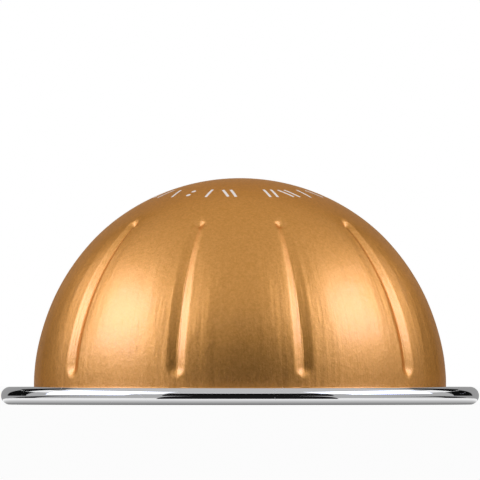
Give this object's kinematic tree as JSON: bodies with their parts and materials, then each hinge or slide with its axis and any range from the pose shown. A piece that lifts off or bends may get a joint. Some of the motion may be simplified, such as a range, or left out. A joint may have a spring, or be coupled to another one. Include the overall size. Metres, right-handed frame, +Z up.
{
  "type": "coffee pod",
  "caption": "Dome-shaped aluminium coffee pod with pressed flutes up its sides, a flat flange, a bright rolled edge and a welded foil lid; a sealed pack for a centrifugal brewer.",
  "frame": {"origin": "on the pod's axis, at the level that the rolled edge rests on with the dome up", "axes": "+Z up along the pod's axis, from the foil lid to the crown of the dome; the front, -Y, is midway between two flutes"},
  "size_m": [0.061, 0.061, 0.0289],
  "materials": {
    "gold_lacquer": "satin gold lacquer on drawn aluminium; the flange and rolled edge are left bright",
    "bare_aluminium": "bright foil"
  },
  "bodies": {
    "root": {"drawn_cup": "gold_lacquer", "foil_lid": "bare_aluminium"}
  },
  "joints": []
}
